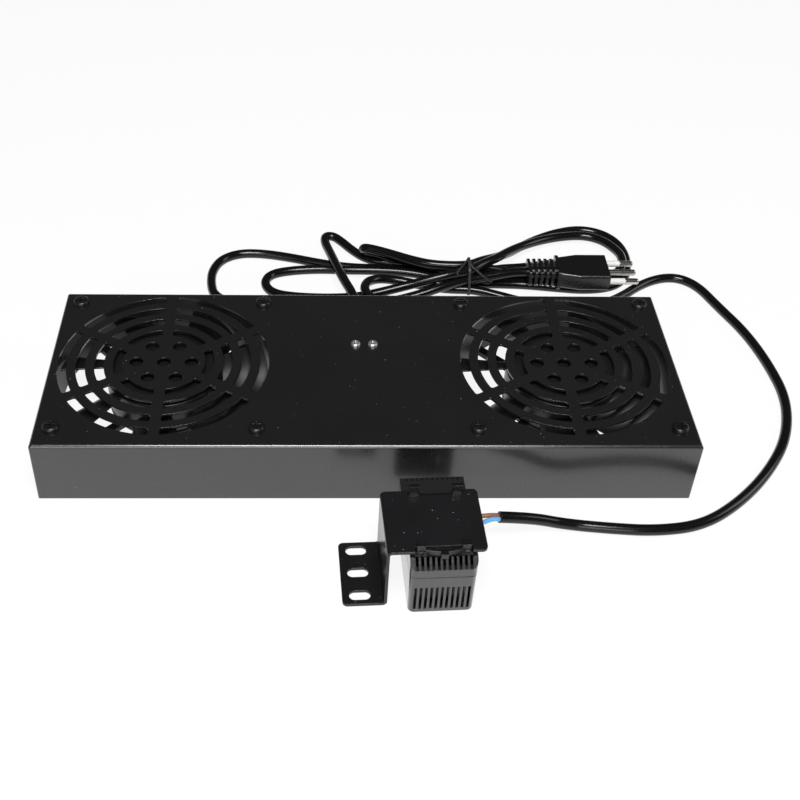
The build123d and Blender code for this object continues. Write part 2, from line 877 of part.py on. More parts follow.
with BuildPart() as thermostat_cover:
    with BuildSketch(stat_floor):
        RectangleRounded(stat_width - draft_in, stat_length - draft_in, stat_corner)
    extrude(amount=cover_height, taper=-cover_draft)
    fillet(thermostat_cover.edges().group_by(Axis.Z)[0], seam_chamfer * 2)
    chamfer(thermostat_cover.edges().group_by(Axis.Z)[-1], seam_chamfer)
    with BuildSketch(stat_floor.offset(cover_floor)):
        RectangleRounded(inner_width - draft_in, inner_length - draft_in, stat_wall)
    extrude(amount=cover_height, taper=-cover_draft, mode=Mode.SUBTRACT)
    extrude(end_vents(vent_low, stat_wall + 1), amount=vent_high - vent_low, mode=Mode.SUBTRACT)
    with BuildSketch(stat_floor):
        with Locations((0, dial_y)):
            Circle(dial_diameter / 2 + dial_clearance)
        with Locations(*[(clamp_x, row) for row in clamp_rows]):
            Circle(terminal_screw_head / 2)
    extrude(amount=cover_floor, mode=Mode.SUBTRACT)
    with BuildSketch(facing_right(stat_floor)):
        with Locations(*[(row, wire_height) for row in clamp_rows]):
            Circle(core_cover / 2 + small_gap)
    extrude(amount=stat_width, mode=Mode.SUBTRACT)
PIECES["thermostat_cover"] = thermostat_cover

with BuildPart() as thermostat_back_shell:
    with BuildSketch(stat_floor.offset(cover_height)):
        RectangleRounded(stat_width, stat_length, stat_corner)
    extrude(amount=shell_height)
    with BuildSketch(facing_right(stat_floor)):
        for end in (-1, 1):
            with Locations((end * stat_length / 2, shell_top)):
                Rectangle(2 * shell_chamfer, 2 * shell_chamfer, rotation=45)
    extrude(amount=stat_width, both=True, mode=Mode.SUBTRACT)
    chamfer(thermostat_back_shell.edges().group_by(Axis.Z)[0], seam_chamfer)
    with BuildSketch(stat_floor.offset(cover_height)):
        RectangleRounded(inner_width, inner_length - shell_chamfer, stat_wall)
    extrude(amount=shell_height - stat_wall, mode=Mode.SUBTRACT)
    comb_low = shell_top - shell_chamfer - comb_below
    extrude(end_vents(comb_low, comb_reach), amount=shell_top - comb_low, mode=Mode.SUBTRACT)
PIECES["thermostat_back_shell"] = thermostat_back_shell

# Rail clip: base plate, two plain legs behind, two hooked legs in front, bowed release bar
clip_floor = Plane(stat.from_local_coords((stat_x, 0, shell_top)), x_dir=stat.x_dir)
plate_high = clip_base + bracket_sheet
notch_edge = bracket_width / 2 - rail_notch_depth + small_gap
leg_middle = notch_edge + clip_leg_thick / 2

with BuildPart() as rail_clip:
    with BuildSketch(clip_floor):
        Rectangle(rail_notch_width - 1, clip_length)
    extrude(amount=clip_base)
    with BuildSketch(clip_floor):
        with Locations((0, leg_middle)):
            with GridLocations(clip_leg_spacing, 1, 2, 1):
                Rectangle(clip_leg_width, clip_leg_thick)
    extrude(amount=plate_high + rear_leg_rise)
    with BuildSketch(clip_floor.offset(plate_high + rear_leg_rise)):
        with Locations((0, leg_middle)):
            with GridLocations(clip_leg_spacing, 1, 2, 1):
                Rectangle(rear_leg_cap, clip_leg_thick)
    extrude(amount=-clip_leg_thick / 2)
    with BuildSketch(clip_floor.offset(plate_high)):
        with Locations((0, notch_edge)):
            with GridLocations(clip_leg_spacing, 1, 2, 1):
                Rectangle(rear_leg_cap, 2 * clip_hook, align=(Align.CENTER, Align.CENTER))
    extrude(amount=clip_leg_thick / 2)
    with BuildSketch(facing_right(clip_floor)):
        with BuildLine():
            Polyline(
                (-notch_edge, 0),
                (-notch_edge, plate_high),
                (-notch_edge + 2 * clip_hook, plate_high),
                (-notch_edge + 2 * clip_hook, plate_high + clip_leg_thick / 3),
                (-notch_edge - clip_leg_thick / 2, plate_high + front_leg_rise),
                (-notch_edge - clip_leg_thick, plate_high + front_leg_rise),
                (-notch_edge - clip_leg_thick, 0),
                close=True,
            )
        make_face()
    extrude(amount=clip_leg_spacing / 2 + clip_leg_width / 2, both=True)
    with BuildSketch(clip_floor.offset(clip_base)):
        with Locations((0, -notch_edge)):
            Rectangle(clip_leg_spacing - clip_leg_width, 4 * clip_leg_thick)
    extrude(amount=plate_high + front_leg_rise, mode=Mode.SUBTRACT)
    with BuildSketch(clip_floor.offset(clip_base / 2)):
        with BuildLine():
            bar_end = clip_leg_spacing / 2
            bar_y = -notch_edge - clip_leg_thick / 2
            ThreePointArc((-bar_end, bar_y), (0, bar_y - spring_bow), (bar_end, bar_y))
        trace(line_width=spring_bar)
        with Locations((0, bar_y - spring_bow)):
            Rectangle(release_tab, release_tab_reach, align=(Align.CENTER, Align.MAX))
    extrude(amount=plate_high)
PIECES["rail_clip"] = rail_clip

# Dial and spindle, read from below the thermostat
dial_plane = Plane(stat_floor.from_local_coords((0, dial_y, 0)), x_dir=stat.x_dir)
dial_top = cover_floor + 2 * small_gap + dial_flange_thick
with BuildPart() as thermostat_dial:
    with BuildSketch(dial_plane.offset(dial_recess)):
        Circle(dial_diameter / 2)
    extrude(amount=dial_top - dial_recess)
    with BuildSketch(dial_plane.offset(dial_top - dial_flange_thick)):
        Circle(dial_diameter / 2 + dial_flange)
    extrude(amount=dial_flange_thick)
    with BuildSketch(dial_plane.offset(dial_recess)):
        SlotOverall(dial_diameter * 0.7, recess_width * 1.4)
        with Locations((0, dial_diameter * 0.4)):
            RegularPolygon(recess_width, 3, rotation=90)
    extrude(amount=dial_recess, mode=Mode.SUBTRACT)
PIECES["thermostat_dial"] = thermostat_dial

with BuildPart() as dial_spindle:
    with BuildSketch(dial_plane.offset(dial_top)):
        Circle(spindle_diameter / 2)
    extrude(amount=spindle_length)
PIECES["dial_spindle"] = dial_spindle

# Switch: moulded base on posts, with an arm that carries the wire clamps
switch_low = cover_floor + switch_lift
with BuildPart() as switch_base:
    with BuildSketch(stat_floor.offset(switch_low)):
        with Locations((0, dial_y)):
            Rectangle(switch_width, switch_length)
        with Locations((arm_right, arm_y)):
            Rectangle(switch_arm_width, switch_arm_length, align=(Align.MAX, Align.CENTER))
    extrude(amount=switch_height)
    with BuildSketch(stat_floor.offset(cover_floor)):
        with Locations((0, dial_y)):
            with GridLocations(switch_width - switch_post, switch_length - switch_post, 2, 2):
                Circle(switch_post / 2)
    extrude(amount=switch_lift)
    with BuildSketch(dial_plane):
        Circle(spindle_diameter / 2 + running_gap)
    extrude(amount=dial_top + spindle_length + clip_thick, mode=Mode.SUBTRACT)
PIECES["switch_base"] = switch_base

with BuildPart() as bimetal_strip:
    strip_low = switch_low + switch_height
    strip_end = dial_y + switch_length / 2
    with BuildSketch(facing_right(stat_floor)):
        with BuildLine():
            FilletPolyline(
                (strip_end, strip_low + strip_thick / 2),
                (strip_end - switch_length / 3, strip_low + strip_thick / 2),
                (strip_end - switch_length / 2, strip_low + strip_rise),
                (strip_end - switch_length + 1, strip_low + strip_rise),
                radius=strip_rise,
            )
        trace(line_width=strip_thick)
    extrude(amount=strip_width / 2, both=True)
PIECES["bimetal_strip"] = bimetal_strip

clamp_low = wire_height - clamp_height / 2
with BuildPart() as wire_clamps:
    with BuildSketch(stat_floor.offset(clamp_low)):
        with Locations(*[(clamp_x, row) for row in clamp_rows]):
            Rectangle(clamp_length, clamp_width)
    extrude(amount=clamp_height)
    with BuildSketch(facing_right(stat_floor, arm_right)):
        with Locations(*[(row, wire_height) for row in clamp_rows]):
            Circle(clamp_bore / 2)
    extrude(amount=clamp_length, mode=Mode.SUBTRACT)
PIECES["wire_clamps"] = wire_clamps

with BuildPart() as wire_clamp_screws:
    with BuildSketch(stat_floor.offset(clamp_low)):
        with Locations(*[(clamp_x, row) for row in clamp_rows]):
            Circle(terminal_screw / 2)
    extrude(amount=-terminal_screw_height)
    with BuildSketch(stat_floor.offset(clamp_low - terminal_screw_height)):
        with Locations(*[(clamp_x, row) for row in clamp_rows]):
            Rectangle(terminal_screw, clip_thick)
    extrude(amount=clip_thick, mode=Mode.SUBTRACT)
PIECES["wire_clamp_screws"] = wire_clamp_screws


def points_on(plane, route):
    """Points of a route given on a plane."""
    return [Vector(plane.from_local_coords(point)) for point in route]


def bend_radii(points):
    """Largest tangent arc that each corner's two runs leave room for."""
    radii = []
    for before, at, after in zip(points, points[1:], points[2:]):
        run_in = at - before
        run_out = after - at
        half_turn = radians(run_in.get_angle(run_out)) / 2
        radii.append(0.45 * min(run_in.length, run_out.length) * cos(half_turn) / sin(half_turn))
    return radii


def cord_tube(name, points, diameter):
    """Tube of a cord along straight runs joined by tangent arcs."""
    radii = bend_radii(points)
    with BuildPart() as tube:
        with BuildLine() as path:
            FilletPolyline(*points, radius=radii)
        start = Plane(points[0], z_dir=points[1] - points[0])
        with BuildSketch(start):
            Circle(diameter / 2)
        sweep(path=path.line)
    length = path.wire().length
    share = tube.part.volume / (pi * diameter**2 / 4 * length)
    print(name, "length", round(length, 1), "volume share", round(share, 4))
    print(name, "radii", [round(radius, 1) for radius in radii])
    return tube


plug_tail = Plane(plug.from_local_coords((-plug_length - rib_count * rib_pitch, 0, 0)))
stat_wall_plane = Plane(stat.from_local_coords((stat_x + stat_width / 2, 0, 0)), x_dir=stat.x_dir)
power_lead_points = points_on(behind, power_lead_route)
plug_lead_points = points_on(plug_tail, plug_lead_route)
sensor_cable_points = points_on(behind, sensor_cable_route) + points_on(stat_wall_plane, sensor_cable_end)
PIECES["power_cord_lead"] = cord_tube("power_cord_lead", power_lead_points, cord_diameter)
PIECES["plug_lead"] = cord_tube("plug_lead", plug_lead_points, cord_diameter)
PIECES["thermostat_cable"] = cord_tube("thermostat_cable", sensor_cable_points, cord_diameter)

# Brown and blue cores, from the cut end of the sheath into the wire clamps
sheath_end = sensor_cable_points[-1]
sheath_way = (sheath_end - sensor_cable_points[-2]).normalized()
core_side = Vector(0, 0, 1).cross(sheath_way)
for name, side, row in (("brown_core", -1, clamp_rows[1]), ("blue_core", 1, clamp_rows[0])):
    clamp_middle = stat_floor.from_local_coords((clamp_x, row, wire_height))
    wall_mouth = stat_floor.from_local_coords((stat_width / 2 + core_straight / 2, row, wire_height))
    first = sheath_end + core_side * (side * (core_cover / 2 + small_gap))
    second = first + sheath_way * core_straight
    PIECES[name] = cord_tube(name, [first, second, wall_mouth, clamp_middle], core_cover)

# Tied hank of the mains cord: outline from above, cut to its heights from the side
with BuildPart() as power_cord_hank:
    with BuildSketch(behind):
        with BuildLine():
            FilletPolyline(*hank_plan, close=True, radius=hank_round)
        make_face()
    extrude(amount=tray_height)
    with BuildSketch(facing_front(behind)):
        with BuildLine():
            Polyline(*hank_profile, close=True)
        make_face()
    extrude(amount=-tray_length, mode=Mode.INTERSECT)
PIECES["power_cord_hank"] = power_cord_hank

# Twist tie: a flat band round the waist of the hank, with its twisted tail on top
waist_ends = [y for x, y in hank_plan if abs(x - tie_x) < tie_reach]
waist_edges = [z for x, z in hank_profile if abs(x - tie_x) < 2 * tie_reach]
waist_middle = ((min(waist_ends) + max(waist_ends)) / 2, (min(waist_edges) + max(waist_edges)) / 2)
waist_wide = max(waist_ends) - min(waist_ends)
waist_tall = max(waist_edges) - min(waist_edges)
tie_middle = behind.from_local_coords((tie_x, *waist_middle))
tie_plane = Plane(tie_middle, x_dir=(0, 1, 0), z_dir=(1, 0, 0))
tie_top = tie_plane.origin + Vector(0, 0, waist_tall / 2 + tie_thick / 2)
with BuildPart() as cord_tie:
    with BuildSketch(tie_plane):
        Rectangle(waist_wide + 2 * tie_thick, waist_tall + 2 * tie_thick)
        Rectangle(waist_wide, waist_tall, mode=Mode.SUBTRACT)
    extrude(amount=tie_band / 2, both=True)
    with BuildSketch(Plane(tie_top)):
        Circle(tie_thick)
    extrude(amount=tie_tail)
PIECES["cord_tie"] = cord_tie

# Plug: moulded body that narrows to a flange, with a ribbed strain relief behind it
with BuildPart() as plug_body:
    with BuildSketch(plug):
        with BuildLine():
            half_face = plug_width / 2
            half_neck = plug_neck_width / 2
            Polyline(
                (0, -half_face),
                (0, half_face),
                (plug_taper_length - plug_length, half_face),
                (-plug_length, half_neck),
                (-plug_length, -half_neck),
                (plug_taper_length - plug_length, -half_face),
                close=True,
            )
        make_face()
    extrude(amount=plug_thick / 2, both=True)
    fillet(plug_body.edges().filter_by(Axis.Z, reverse=True).filter_by(Axis.Y, reverse=True), plug_round)
    with BuildSketch(facing_right(plug, -plug_length)):
        RectangleRounded(plug_flange_width, plug_flange_height, plug_round)
    extrude(amount=plug_flange_thick)
    with BuildSketch(facing_right(plug, -plug_length)):
        Circle(rib_core / 2)
    extrude(amount=-rib_count * rib_pitch)
    for rib in range(rib_count):
        with BuildSketch(facing_right(plug, -plug_length - (rib + 1) * rib_pitch)):
            RectangleRounded(rib_width, rib_height, plug_round)
        extrude(amount=rib_thick)
    with BuildSketch(facing_right(plug, -pin_sleeve_recess)):
        with GridLocations(pin_pitch, 1, 3, 1):
            Circle(pin_diameter / 2)
    extrude(amount=2 * pin_sleeve_recess, mode=Mode.SUBTRACT)
PIECES["plug_body"] = plug_body


def pin(y, start):
    """Solid round pin with a rounded tip, from a distance out of the plug's face."""
    with BuildPart() as rod:
        with BuildSketch(facing_right(plug, start)):
            with Locations((y, 0)):
                Circle(pin_diameter / 2)
        extrude(amount=pin_length - start)
        fillet(rod.edges().sort_by(Axis.X)[-1], pin_diameter * 0.4)
    return rod


with BuildPart() as plug_line_pins:
    for y in (-pin_pitch, pin_pitch):
        add(pin(y, pin_sleeve_length).part)
PIECES["plug_line_pins"] = plug_line_pins
PIECES["plug_earth_pin"] = pin(0, -pin_sleeve_recess)

with BuildPart() as plug_pin_sleeves:
    with BuildSketch(facing_right(plug, -pin_sleeve_recess)):
        with GridLocations(2 * pin_pitch, 1, 2, 1):
            Circle(pin_diameter / 2)
    extrude(amount=pin_sleeve_length + pin_sleeve_recess)
PIECES["plug_pin_sleeves"] = plug_pin_sleeves

os.makedirs("parts", exist_ok=True)
for name, piece in PIECES.items():
    piece.part.label = name
    export_step(piece.part, f"parts/{name}.step")
print("origin offset", round(tray_y, 3), "pieces", len(PIECES))
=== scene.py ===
"""Looks of a fan tray with its tied mains cord and rail thermostat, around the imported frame.

Metres, +Z up, +X along the casing, front towards -Y.
"""

import json
from math import cos, pi, sin

import bmesh
import bpy
from mathutils import Matrix, Vector, geometry


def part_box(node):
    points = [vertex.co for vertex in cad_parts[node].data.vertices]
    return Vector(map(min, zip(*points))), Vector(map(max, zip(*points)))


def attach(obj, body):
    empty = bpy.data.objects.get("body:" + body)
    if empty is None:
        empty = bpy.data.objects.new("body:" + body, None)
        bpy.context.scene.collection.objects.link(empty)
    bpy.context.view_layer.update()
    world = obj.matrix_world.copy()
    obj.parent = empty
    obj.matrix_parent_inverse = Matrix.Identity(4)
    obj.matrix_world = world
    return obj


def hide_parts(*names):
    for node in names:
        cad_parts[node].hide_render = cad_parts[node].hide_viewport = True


bl_info = {
    "name": "Fan tray",
    "version": (1, 0, 0),
    "blender": (4, 5, 0),
    "location": "3D View > Sidebar > Fan tray",
    "description": "Finishes, cords, tie, light and camera of a fan tray for a network cabinet",
    "category": "Object",
}

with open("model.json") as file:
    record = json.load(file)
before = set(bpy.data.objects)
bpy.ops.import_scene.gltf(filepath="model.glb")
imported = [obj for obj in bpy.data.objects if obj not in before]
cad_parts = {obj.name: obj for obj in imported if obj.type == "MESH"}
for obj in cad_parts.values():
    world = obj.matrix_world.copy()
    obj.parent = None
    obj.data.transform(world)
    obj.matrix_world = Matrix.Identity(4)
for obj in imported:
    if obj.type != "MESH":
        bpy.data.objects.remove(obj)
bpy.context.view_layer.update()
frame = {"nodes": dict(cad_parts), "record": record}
nodes = frame["nodes"]
body = "tray"
mm = 0.001

# Foot of the casing's rear wall, at its middle, which the cords' and the tie's places count from
rear_wall = Vector((0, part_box("tray_casing")[1].y, 0))

# Mains cord from its strain relief to the plug's tail, in metres from the rear wall
mains_route = [
    # From the strain relief to the hank's highest corner, and down again
    (-0.002, 0.02, 0.012),
    (-0.0035, 0.033, 0.0123),
    (-0.009, 0.048, 0.012),
    (-0.014, 0.067, 0.0106),
    (-0.0182, 0.085, 0.0087),
    (-0.0212, 0.0955, 0.0084),
    (-0.021, 0.1033, 0.0081),
    (-0.0153, 0.1043, 0.0076),
    (-0.0095, 0.099, 0.0064),
    (-0.0035, 0.0925, 0.0048),
    (0.005, 0.0853, 0.0032),
    # Along the floor and through the tie, then the small fold that the plug hides
    (0.015, 0.0809, 0.0031),
    (0.03, 0.0788, 0.0031),
    (0.046, 0.0749, 0.0032),
    (0.06, 0.0708, 0.0038),
    (0.073, 0.0682, 0.0045),
    (0.084, 0.0712, 0.0035),
    (0.095, 0.0744, 0.0031),
    (0.11, 0.0758, 0.0031),
    (0.124, 0.0793, 0.0031),
    (0.138, 0.082, 0.0031),
    (0.149, 0.082, 0.0031),
    (0.1565, 0.075, 0.0031),
    (0.149, 0.068, 0.0031),
    (0.136, 0.0678, 0.0031),
    (0.12, 0.0687, 0.0031),
    (0.104, 0.0688, 0.0032),
    # Through the tie, and left to where the two upper strands fold back
    (0.092, 0.068, 0.0064),
    (0.083, 0.0658, 0.0095),
    (0.074, 0.0633, 0.0096),
    (0.064, 0.0628, 0.01),
    (0.052, 0.0648, 0.0099),
    (0.038, 0.071, 0.0092),
    (0.024, 0.0782, 0.0086),
    (0.013, 0.0836, 0.0086),
    (0.004, 0.0856, 0.0093),
    (0.004, 0.081, 0.0148),
    # Back through the tie, and round the outer right-hand turn
    (0.012, 0.0782, 0.0149),
    (0.022, 0.0739, 0.0146),
    (0.034, 0.0675, 0.0147),
    (0.046, 0.0623, 0.015),
    (0.06, 0.0606, 0.0152),
    (0.072, 0.0614, 0.0152),
    (0.08, 0.0682, 0.014),
    (0.09, 0.078, 0.0094),
    (0.1, 0.0886, 0.0049),
    (0.11, 0.099, 0.0032),
    (0.122, 0.108, 0.0031),
    (0.137, 0.1163, 0.0031),
    (0.153, 0.1208, 0.0031),
    (0.1675, 0.1165, 0.0031),
    (0.1765, 0.106, 0.0031),
    (0.18, 0.092, 0.0031),
    (0.1786, 0.077, 0.0031),
    (0.174, 0.063, 0.0031),
    (0.1625, 0.054, 0.0031),
    (0.145, 0.0516, 0.0031),
    (0.126, 0.0542, 0.0031),
    (0.108, 0.0569, 0.0031),
    (0.092, 0.0572, 0.0033),
    # Through the tie, and round the inner left-hand turn
    (0.078, 0.056, 0.0044),
    (0.066, 0.0564, 0.0047),
    (0.056, 0.0593, 0.0049),
    (0.042, 0.0646, 0.0052),
    (0.026, 0.0677, 0.0054),
    (0.008, 0.0685, 0.0055),
    (-0.008, 0.0698, 0.0046),
    (-0.024, 0.0726, 0.0032),
    (-0.042, 0.0712, 0.0031),
    (-0.0562, 0.067, 0.0031),
    (-0.0605, 0.0573, 0.0031),
    (-0.0555, 0.0472, 0.0031),
    (-0.044, 0.043, 0.0031),
    (-0.02, 0.0413, 0.0031),
    (0, 0.0426, 0.0033),
    # Up through the tie, and round the inner right-hand turn
    (0.016, 0.0465, 0.0048),
    (0.03, 0.0482, 0.008),
    (0.042, 0.0488, 0.0116),
    (0.052, 0.0496, 0.0144),
    (0.062, 0.0518, 0.0156),
    (0.072, 0.0542, 0.0158),
    (0.08, 0.0614, 0.0166),
    (0.09, 0.071, 0.0138),
    (0.1, 0.083, 0.011),
    (0.112, 0.0946, 0.008),
    (0.126, 0.1036, 0.0062),
    (0.142, 0.1092, 0.0054),
    (0.1555, 0.1103, 0.0052),
    (0.166, 0.105, 0.0054),
    (0.172, 0.0955, 0.006),
    (0.1755, 0.084, 0.0074),
    (0.1737, 0.0715, 0.0079),
    (0.167, 0.0624, 0.007),
    (0.156, 0.0592, 0.004),
    (0.138, 0.0606, 0.0031),
    (0.12, 0.0627, 0.0031),
    (0.104, 0.0628, 0.0031),
    (0.09, 0.0629, 0.0036),
    # Through the tie again, and round the outer left-hand turn
    (0.074, 0.062, 0.0046),
    (0.06, 0.0647, 0.0042),
    (0.046, 0.0688, 0.0033),
    (0.034, 0.0721, 0.0031),
    (0.02, 0.0738, 0.0031),
    (0.004, 0.0739, 0.0031),
    (-0.012, 0.0758, 0.0031),
    (-0.028, 0.0803, 0.0031),
    (-0.045, 0.0858, 0.0031),
    (-0.062, 0.0898, 0.0031),
    (-0.0775, 0.09, 0.0031),
    (-0.089, 0.083, 0.0031),
    (-0.0942, 0.0705, 0.0031),
    (-0.0943, 0.0565, 0.0031),
    (-0.091, 0.0425, 0.0031),
    (-0.077, 0.035, 0.0031),
    (-0.052, 0.034, 0.0031),
    (-0.026, 0.0343, 0.0031),
    (0, 0.0353, 0.0031),
    # Up through the tie to the plug's tail
    (0.02, 0.0373, 0.0036),
    (0.036, 0.0409, 0.0058),
    (0.05, 0.0446, 0.0088),
    (0.062, 0.049, 0.0105),
    (0.073, 0.0524, 0.0107),
    (0.084, 0.0542, 0.0117),
    (0.096, 0.0563, 0.0129),
    (0.104, 0.0573, 0.013),
    (0.1085, 0.0573, 0.013),
]

# Thermostat's cable from its grommet round the end of the casing, in metres from the rear wall
sensor_route = [
    (0.015, 0.003, 0.012),
    (0.015, 0.016, 0.012),
    (0.007, 0.03, 0.012),
    (0.003, 0.0405, 0.0114),
    (0.0055, 0.0505, 0.0098),
    (0.014, 0.0567, 0.0078),
    (0.027, 0.0568, 0.0059),
    (0.041, 0.0534, 0.0047),
    (0.057, 0.0496, 0.0046),
    (0.074, 0.049, 0.0049),
    (0.089, 0.045, 0.0033),
    (0.104, 0.0385, 0.0031),
    (0.122, 0.0333, 0.0031),
    (0.143, 0.0327, 0.0031),
    (0.164, 0.0405, 0.0031),
    (0.186, 0.06, 0.0031),
    (0.206, 0.067, 0.0031),
    (0.22, 0.058, 0.0031),
    (0.2285, 0.034, 0.0031),
    (0.2385, 0.009, 0.0031),
    (0.2443, -0.021, 0.0031),
    (0.246, -0.053, 0.0031),
    (0.2365, -0.085, 0.0031),
    (0.2183, -0.112, 0.0031),
    (0.1963, -0.1343, 0.0031),
    (0.173, -0.15, 0.0031),
    (0.148, -0.1538, 0.0031),
    (0.124, -0.152, 0.0031),
    (0.101, -0.149, 0.0031),
    (0.083, -0.1515, 0.0105),
    (0.0656, -0.1546, 0.0145),
]

# Tie: where its band crosses the strands, its peak, the folded end and the tail, from the rear wall
tie_place = 0.0705
tie_peak = (0.0705, 0.0608, 0.0214)
tie_fold = [
    (0.067, 0.0557, 0.0198),
    (0.0635, 0.0512, 0.0186),
    (0.0622, 0.0496, 0.0176),
    (0.063, 0.0488, 0.0162),
]
tie_tail = [
    (0.072, 0.0545, 0.0193),
    (0.075, 0.0527, 0.0172),
    (0.079, 0.0513, 0.0141),
    (0.083, 0.051, 0.0108),
    (0.0852, 0.0522, 0.009),
    (0.0845, 0.0525, 0.0078),
    (0.082, 0.0525, 0.0076),
    (0.0796, 0.0525, 0.008),
]

# Points round each strand that the tie's band is wrapped over
tie_steps = 24

# Widths of the folded end and of each tail beside the band's, and the way the folded end faces
fold_share = 0.7
tail_share = 0.8
fold_side = (0.6, -0.7, 0.3)

# Full turns of the tail, and how far its two ribbons lean along the casing as they turn
tail_turns = 2.5
tail_lean = 0.3

# Smoothness of the cords: order of the spline, steps between its places, roundness of the section
cord_order = 3
cord_steps = 10
cord_round = 5


def linear(code):
    """Linear colour of an sRGB hex code such as #1a1a1c."""
    parts = [int(code[place : place + 2], 16) / 255 for place in (1, 3, 5)]
    return [part / 12.92 if part <= 0.04045 else ((part + 0.055) / 1.055) ** 2.4 for part in parts] + [1]


def add_node(tree, kind, settings=None, links=None):
    """Adds one node with its settings and the links into it."""
    made = tree.nodes.new(kind)
    for key, value in (settings or {}).items():
        if isinstance(key, str) and hasattr(made, key):
            setattr(made, key, value)
        else:
            made.inputs[key].default_value = value
    for key, source in (links or {}).items():
        tree.links.new(source, made.inputs[key])
    return made


# Finishes by the record's slot. Each has a name, its colour and a lighter or worn second colour,
# roughness and how much it swings, metallic, IOR, grain in mm and the grain's depth in mm. Grain
# that is too fine to show at its real size is drawn 0.4 mm or coarser.
finishes = {
    # Powder-coated sheet steel, sprayed and baked: satin black with a fine orange peel
    "black_powder_coat": ("powder_coated_steel", "#0f0f10", "#171719", 0.27, 0.05, 0, 1.6, 0.9, 0.007),
    # Stamped steel with a thin stoved enamel: smoother and glossier than the casing, with small chips
    "black_bracket_steel": ("stove_enamelled_steel", "#101011", "#1c1c1e", 0.24, 0.08, 0, 1.5, 2.6, 0.006),
    # Die-cast aluminium, wet painted: dull black with a pebbly cast skin
    "fan_frame_black": ("painted_cast_aluminium", "#0c0c0d", "#151516", 0.5, 0.10, 0, 1.45, 0.9, 0.02),
    # Glass-filled polyester, injection moulded: dark grey blades with a waxy shine
    "impeller_plastic": ("moulded_polyester", "#131314", "#1b1b1d", 0.34, 0.08, 0, 1.5, 3.0, 0.006),
    # Drawn and zinc-flashed steel cup: dull grey metal
    "rotor_steel": ("drawn_steel", "#8d8f92", "#a3a5a8", 0.38, 0.10, 1, 1.5, 1.4, 0.004),
    # Ground bearing steel: clean bright metal
    "bright_steel": ("ground_steel", "#b9bbbe", "#cfd0d2", 0.22, 0.06, 1, 1.5, 0.8, 0.002),
    # Stacked electrical steel sheets: dull grey, rough on their cut edge
    "laminated_steel": ("laminated_steel", "#6c6e71", "#85878a", 0.5, 0.10, 1, 1.5, 0.5, 0.02),
    # Varnished copper wire, wound: warm red-brown gloss
    "enamelled_copper": ("enamelled_copper_wire", "#9c4f2c", "#b5663c", 0.3, 0.08, 1, 1.5, 0.4, 0.03),
    # Blackened machine screws: dark oiled metal, paler in patches
    "black_steel_screws": ("blackened_steel", "#121213", "#222224", 0.3, 0.08, 0.3, 1.5, 0.7, 0.008),
    # Zinc-plated screws and nuts: bluish white shine
    "zinc_plated_steel": ("zinc_plated_steel", "#c9cbcf", "#e4e5e8", 0.26, 0.08, 1, 1.5, 0.6, 0.004),
    # Moulded polyamide of the terminal block: milky, half gloss
    "terminal_plastic": ("moulded_polyamide", "#d9d6cc", "#e4e1d8", 0.45, 0.06, 0, 1.53, 1.5, 0.006),
    # Turned brass, nickel flashed: pale yellow metal
    "brass_contacts": ("turned_brass", "#c3a35c", "#d2b570", 0.28, 0.08, 1, 1.5, 0.5, 0.004),
    # Extruded soft PVC sheath: deep black with narrow sharp highlights
    "black_cord_jacket": ("extruded_pvc", "#0a0a0a", "#111112", 0.15, 0.04, 0, 1.45, 1.8, 0.006),
    # Overmoulded hard PVC with an eroded skin: glossy black broken into small sparkles
    "black_moulding": ("overmoulded_pvc", "#0a0a0a", "#111112", 0.18, 0.05, 0, 1.5, 0.7, 0.22),
    # Core insulation: thin coloured PVC, half gloss
    "brown_core_jacket": ("brown_core_pvc", "#8a5a44", "#9a6a52", 0.35, 0.05, 0, 1.5, 0.8, 0.005),
    "blue_core_jacket": ("blue_core_pvc", "#4f97cf", "#74b0dc", 0.35, 0.05, 0, 1.5, 0.8, 0.005),
    # Moulded polycarbonate: grey-black with a fine spark texture under a clear gloss
    "thermostat_plastic": ("moulded_polycarbonate", "#161617", "#1f1f20", 0.28, 0.06, 0, 1.58, 0.5, 0.015),
    # Moulded ABS dial: paler, half gloss
    "dial_plastic": ("moulded_abs", "#c9c7c0", "#d3d1cb", 0.4, 0.05, 0, 1.5, 0.9, 0.006),
    # Rolled bimetal strip: dull and faintly yellow
    "bimetal": ("rolled_bimetal", "#a39a86", "#b5ad9a", 0.35, 0.08, 1, 1.5, 0.5, 0.004),
    # Nickel-plated brass pins: mirror-like warm grey
    "nickel_plated_pins": ("nickel_plated_brass", "#c9c6c0", "#dcdad5", 0.16, 0.05, 1, 1.5, 1.2, 0.002),
    # Moulded polyamide sleeves of the outer pins: clean white, half gloss
    "pin_sleeve_plastic": ("white_polyamide", "#eceae6", "#f3f2ef", 0.35, 0.05, 0, 1.53, 1.0, 0.004),
    # Polyethylene ribbon over a steel wire: dark grey, scuffed and dull
    "tie_plastic": ("polyethylene_ribbon", "#202021", "#3c3c3f", 0.4, 0.12, 0, 1.5, 0.6, 0.03),
}

# Weight of the clear skin over the pigment, by slot, and its roughness
skins = {"black_powder_coat": 0.8, "thermostat_plastic": 1.0, "black_moulding": 0.3}
skin_roughness = 0.16

# Broad patches of tone and gloss: about 22 to a metre
patches = 22

# How rare dust and chips are, by slot: the nearer to 1, the fewer. Then their size in mm, the
# softness of their rims, how much they cover and their colour.
dust = {"black_powder_coat": 0.785, "black_bracket_steel": 0.775, "thermostat_plastic": 0.785}
mote = 1.3
mote_rim = 0.03
mote_cover = 0.7
mote_colour = "#9a9a9c"

# Rounding of the edges that catches the light, in mm, and how often it is sampled
edge_round = 0.6
edge_samples = 4

